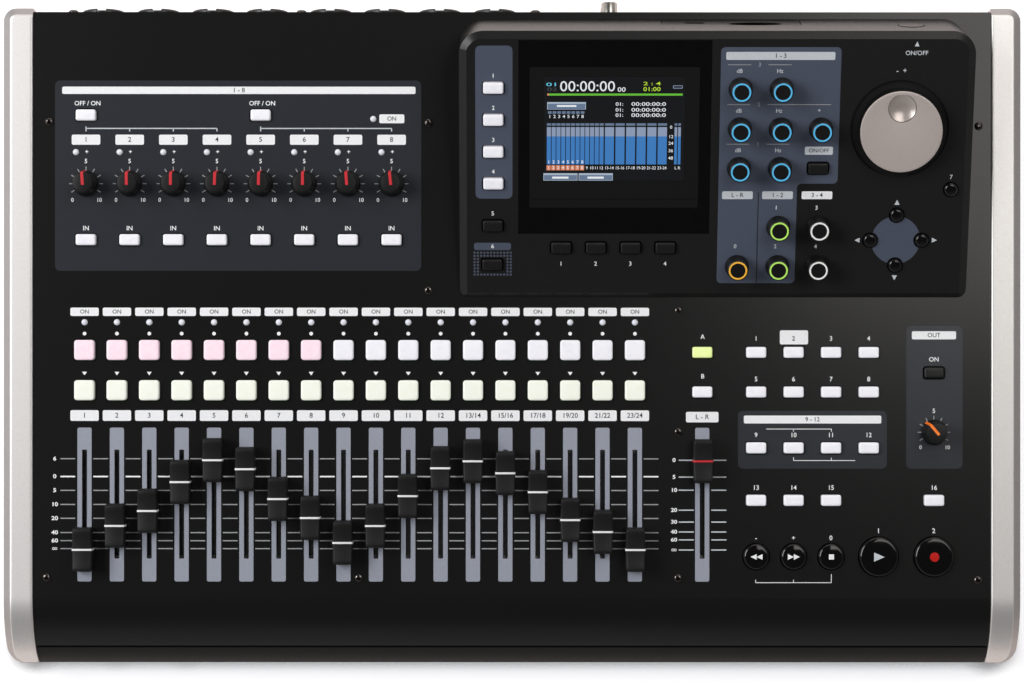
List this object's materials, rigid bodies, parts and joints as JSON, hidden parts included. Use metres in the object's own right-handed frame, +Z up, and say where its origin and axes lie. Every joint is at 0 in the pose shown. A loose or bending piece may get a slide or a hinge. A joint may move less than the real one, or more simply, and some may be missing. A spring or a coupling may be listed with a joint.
{
  "type": "digital multitrack recorder",
  "caption": "Sloping desktop multitrack recorder with channel faders, trim knobs, a raised tilted screen, jog wheel, transport keys and rear input sockets.",
  "frame": {"origin": "middle of the footprint at floor level", "axes": "+X to the right along the panel, +Y to the rear sockets, +Z up from the feet"},
  "size_m": [0.514, 0.3407, 0.1061],
  "materials": {
    "black_steel": "fine matte black paint",
    "silver_paint": "silver paint on moulded plastic",
    "black_plastic": "fine-grained matte black",
    "smoked_lens": "glossy smoked acrylic",
    "lcd": "colour screen",
    "board": "circuit board",
    "plated_steel": "plated steel",
    "jack_plastic": "moulded sockets with plated contacts",
    "lens": "milky indicator lens",
    "dark_screw": "black zinc",
    "rubber": "rubber",
    "black_cap": "fine matte black",
    "jog_metal": "satin silver",
    "white_key": "translucent white rubber",
    "gloss_key": "gloss black"
  },
  "bodies": {
    "chassis": {"top_panel": "black_steel", "bottom_tray": "black_steel", "left_cheek": "silver_paint", "right_cheek": "silver_paint", "display_housing": "black_plastic", "display_window": "smoked_lens", "lcd_module": "lcd", "circuit_boards": "board", "control_bodies": "plated_steel", "jacks": "jack_plastic", "indicator_lenses": "lens", "screws": "dark_screw", "feet": "rubber"},
    "fader_1": {"fader_1": "black_cap"},
    "fader_2": {"fader_2": "black_cap"},
    "fader_3": {"fader_3": "black_cap"},
    "fader_4": {"fader_4": "black_cap"},
    "fader_5": {"fader_5": "black_cap"},
    "fader_6": {"fader_6": "black_cap"},
    "fader_7": {"fader_7": "black_cap"},
    "fader_8": {"fader_8": "black_cap"},
    "fader_9": {"fader_9": "black_cap"},
    "fader_10": {"fader_10": "black_cap"},
    "fader_11": {"fader_11": "black_cap"},
    "fader_12": {"fader_12": "black_cap"},
    "fader_13": {"fader_13": "black_cap"},
    "fader_14": {"fader_14": "black_cap"},
    "fader_15": {"fader_15": "black_cap"},
    "fader_16": {"fader_16": "black_cap"},
    "fader_17": {"fader_17": "black_cap"},
    "fader_18": {"fader_18": "black_cap"},
    "master_fader": {"master_fader": "black_cap"},
    "trim_knob_1": {"trim_knob_1": "black_cap"},
    "trim_knob_2": {"trim_knob_2": "black_cap"},
    "trim_knob_3": {"trim_knob_3": "black_cap"},
    "trim_knob_4": {"trim_knob_4": "black_cap"},
    "trim_knob_5": {"trim_knob_5": "black_cap"},
    "trim_knob_6": {"trim_knob_6": "black_cap"},
    "trim_knob_7": {"trim_knob_7": "black_cap"},
    "trim_knob_8": {"trim_knob_8": "black_cap"},
    "monitor_knob": {"monitor_knob": "black_cap"},
    "encoder_1": {"encoder_1": "black_cap"},
    "encoder_2": {"encoder_2": "black_cap"},
    "encoder_3": {"encoder_3": "black_cap"},
    "encoder_4": {"encoder_4": "black_cap"},
    "encoder_5": {"encoder_5": "black_cap"},
    "encoder_6": {"encoder_6": "black_cap"},
    "encoder_7": {"encoder_7": "black_cap"},
    "encoder_8": {"encoder_8": "black_cap"},
    "encoder_9": {"encoder_9": "black_cap"},
    "encoder_10": {"encoder_10": "black_cap"},
    "encoder_11": {"encoder_11": "black_cap"},
    "encoder_12": {"encoder_12": "black_cap"},
    "jog_wheel": {"jog_wheel": "jog_metal"},
    "rec_keys": {"rec_keys": "white_key"},
    "select_keys": {"select_keys": "white_key"},
    "panel_keys": {"panel_keys": "white_key"},
    "screen_keys": {"screen_keys": "white_key"},
    "transport_keys": {"transport_keys": "gloss_key"},
    "standby_button": {"standby_button": "gloss_key"}
  },
  "joints": [
    {"name": "fader_1_slide", "type": "slide", "parent": "chassis", "child": "fader_1", "axis": [0, 0.9976, 0.0698], "range_m": [0, 0.045]},
    {"name": "fader_2_slide", "type": "slide", "parent": "chassis", "child": "fader_2", "axis": [0, 0.9976, 0.0698], "range_m": [-0.012, 0.033]},
    {"name": "fader_3_slide", "type": "slide", "parent": "chassis", "child": "fader_3", "axis": [0, 0.9976, 0.0698], "range_m": [-0.0195, 0.0255]},
    {"name": "fader_4_slide", "type": "slide", "parent": "chassis", "child": "fader_4", "axis": [0, 0.9976, 0.0698], "range_m": [-0.034, 0.011]},
    {"name": "fader_5_slide", "type": "slide", "parent": "chassis", "child": "fader_5", "axis": [0, 0.9976, 0.0698], "range_m": [-0.045, 0]},
    {"name": "fader_6_slide", "type": "slide", "parent": "chassis", "child": "fader_6", "axis": [0, 0.9976, 0.0698], "range_m": [-0.0405, 0.0045]},
    {"name": "fader_7_slide", "type": "slide", "parent": "chassis", "child": "fader_7", "axis": [0, 0.9976, 0.0698], "range_m": [-0.0255, 0.0195]},
    {"name": "fader_8_slide", "type": "slide", "parent": "chassis", "child": "fader_8", "axis": [0, 0.9976, 0.0698], "range_m": [-0.016, 0.029]},
    {"name": "fader_9_slide", "type": "slide", "parent": "chassis", "child": "fader_9", "axis": [0, 0.9976, 0.0698], "range_m": [-0.0035, 0.0415]},
    {"name": "fader_10_slide", "type": "slide", "parent": "chassis", "child": "fader_10", "axis": [0, 0.9976, 0.0698], "range_m": [-0.012, 0.033]},
    {"name": "fader_11_slide", "type": "slide", "parent": "chassis", "child": "fader_11", "axis": [0, 0.9976, 0.0698], "range_m": [-0.027, 0.018]},
    {"name": "fader_12_slide", "type": "slide", "parent": "chassis", "child": "fader_12", "axis": [0, 0.9976, 0.0698], "range_m": [-0.041, 0.004]},
    {"name": "fader_13_slide", "type": "slide", "parent": "chassis", "child": "fader_13", "axis": [0, 0.9976, 0.0698], "range_m": [-0.0445, 0.0005]},
    {"name": "fader_14_slide", "type": "slide", "parent": "chassis", "child": "fader_14", "axis": [0, 0.9976, 0.0698], "range_m": [-0.0385, 0.0065]},
    {"name": "fader_15_slide", "type": "slide", "parent": "chassis", "child": "fader_15", "axis": [0, 0.9976, 0.0698], "range_m": [-0.029, 0.016]},
    {"name": "fader_16_slide", "type": "slide", "parent": "chassis", "child": "fader_16", "axis": [0, 0.9976, 0.0698], "range_m": [-0.015, 0.03]},
    {"name": "fader_17_slide", "type": "slide", "parent": "chassis", "child": "fader_17", "axis": [0, 0.9976, 0.0698], "range_m": [-0.009, 0.036]},
    {"name": "fader_18_slide", "type": "slide", "parent": "chassis", "child": "fader_18", "axis": [0, 0.9976, 0.0698], "range_m": [0, 0.045]},
    {"name": "master_fader_slide", "type": "slide", "parent": "chassis", "child": "master_fader", "axis": [0, 0.9976, 0.0698], "range_m": [-0.0445, 0.0005]},
    {"name": "trim_knob_1_turn", "type": "hinge", "parent": "chassis", "child": "trim_knob_1", "pos_m": [-0.21517, 0.0725, 0.06042], "axis": [0, -0.0698, 0.9976], "range_deg": [-154, 146]},
    {"name": "trim_knob_2_turn", "type": "hinge", "parent": "chassis", "child": "trim_knob_2", "pos_m": [-0.19312, 0.0725, 0.06042], "axis": [0, -0.0698, 0.9976], "range_deg": [-151, 149]},
    {"name": "trim_knob_3_turn", "type": "hinge", "parent": "chassis", "child": "trim_knob_3", "pos_m": [-0.17108, 0.0725, 0.06042], "axis": [0, -0.0698, 0.9976], "range_deg": [-149, 151]},
    {"name": "trim_knob_4_turn", "type": "hinge", "parent": "chassis", "child": "trim_knob_4", "pos_m": [-0.14903, 0.0725, 0.06042], "axis": [0, -0.0698, 0.9976], "range_deg": [-148, 152]},
    {"name": "trim_knob_5_turn", "type": "hinge", "parent": "chassis", "child": "trim_knob_5", "pos_m": [-0.12699, 0.0725, 0.06042], "axis": [0, -0.0698, 0.9976], "range_deg": [-149, 151]},
    {"name": "trim_knob_6_turn", "type": "hinge", "parent": "chassis", "child": "trim_knob_6", "pos_m": [-0.10494, 0.0725, 0.06042], "axis": [0, -0.0698, 0.9976], "range_deg": [-150, 150]},
    {"name": "trim_knob_7_turn", "type": "hinge", "parent": "chassis", "child": "trim_knob_7", "pos_m": [-0.0829, 0.0725, 0.06042], "axis": [0, -0.0698, 0.9976], "range_deg": [-154, 146]},
    {"name": "trim_knob_8_turn", "type": "hinge", "parent": "chassis", "child": "trim_knob_8", "pos_m": [-0.06086, 0.0725, 0.06042], "axis": [0, -0.0698, 0.9976], "range_deg": [-156, 144]},
    {"name": "monitor_knob_turn", "type": "hinge", "parent": "chassis", "child": "monitor_knob", "pos_m": [0.21307, -0.05259, 0.05167], "axis": [0, -0.0698, 0.9976], "range_deg": [-190, 110]},
    {"name": "encoder_1_turn", "type": "hinge", "parent": "chassis", "child": "encoder_1", "pos_m": [0.11291, 0.11543, 0.0953], "axis": [0, -0.342, 0.9397], "continuous": true},
    {"name": "encoder_2_turn", "type": "hinge", "parent": "chassis", "child": "encoder_2", "pos_m": [0.13322, 0.11543, 0.0953], "axis": [0, -0.342, 0.9397], "continuous": true},
    {"name": "encoder_3_turn", "type": "hinge", "parent": "chassis", "child": "encoder_3", "pos_m": [0.11291, 0.09654, 0.08842], "axis": [0, -0.342, 0.9397], "continuous": true},
    {"name": "encoder_4_turn", "type": "hinge", "parent": "chassis", "child": "encoder_4", "pos_m": [0.13322, 0.09654, 0.08842], "axis": [0, -0.342, 0.9397], "continuous": true},
    {"name": "encoder_5_turn", "type": "hinge", "parent": "chassis", "child": "encoder_5", "pos_m": [0.11291, 0.07774, 0.08158], "axis": [0, -0.342, 0.9397], "continuous": true},
    {"name": "encoder_6_turn", "type": "hinge", "parent": "chassis", "child": "encoder_6", "pos_m": [0.13322, 0.07774, 0.08158], "axis": [0, -0.342, 0.9397], "continuous": true},
    {"name": "encoder_7_turn", "type": "hinge", "parent": "chassis", "child": "encoder_7", "pos_m": [0.15313, 0.09654, 0.08842], "axis": [0, -0.342, 0.9397], "continuous": true},
    {"name": "encoder_8_turn", "type": "hinge", "parent": "chassis", "child": "encoder_8", "pos_m": [0.11291, 0.03048, 0.06438], "axis": [0, -0.342, 0.9397], "continuous": true},
    {"name": "encoder_9_turn", "type": "hinge", "parent": "chassis", "child": "encoder_9", "pos_m": [0.13322, 0.04946, 0.07129], "axis": [0, -0.342, 0.9397], "continuous": true},
    {"name": "encoder_10_turn", "type": "hinge", "parent": "chassis", "child": "encoder_10", "pos_m": [0.15313, 0.04946, 0.07129], "axis": [0, -0.342, 0.9397], "continuous": true},
    {"name": "encoder_11_turn", "type": "hinge", "parent": "chassis", "child": "encoder_11", "pos_m": [0.13322, 0.03048, 0.06438], "axis": [0, -0.342, 0.9397], "continuous": true},
    {"name": "encoder_12_turn", "type": "hinge", "parent": "chassis", "child": "encoder_12", "pos_m": [0.15313, 0.03048, 0.06438], "axis": [0, -0.342, 0.9397], "continuous": true},
    {"name": "jog_wheel_turn", "type": "hinge", "parent": "chassis", "child": "jog_wheel", "pos_m": [0.19227, 0.09654, 0.08842], "axis": [0, -0.342, 0.9397], "continuous": true},
    {"name": "rec_keys_press", "type": "slide", "parent": "chassis", "child": "rec_keys", "axis": [0, 0.0698, -0.9976], "range_m": [0, 0.0012], "stiffness_N_per_m": 1000, "springref_m": -0.0006},
    {"name": "select_keys_press", "type": "slide", "parent": "chassis", "child": "select_keys", "axis": [0, 0.0698, -0.9976], "range_m": [0, 0.0012], "stiffness_N_per_m": 1000, "springref_m": -0.0006},
    {"name": "panel_keys_press", "type": "slide", "parent": "chassis", "child": "panel_keys", "axis": [0, 0.0698, -0.9976], "range_m": [0, 0.0012], "stiffness_N_per_m": 1000, "springref_m": -0.0006},
    {"name": "transport_keys_press", "type": "slide", "parent": "chassis", "child": "transport_keys", "axis": [0, 0.0698, -0.9976], "range_m": [0, 0.0012], "stiffness_N_per_m": 1000, "springref_m": -0.0006},
    {"name": "screen_keys_press", "type": "slide", "parent": "chassis", "child": "screen_keys", "axis": [0, 0.342, -0.9397], "range_m": [0, 0.0012], "stiffness_N_per_m": 1000, "springref_m": -0.0006},
    {"name": "standby_button_press", "type": "slide", "parent": "chassis", "child": "standby_button", "axis": [0, -0.9465, -0.3227], "range_m": [0, 0.0012], "stiffness_N_per_m": 600, "springref_m": -0.0006}
  ]
}
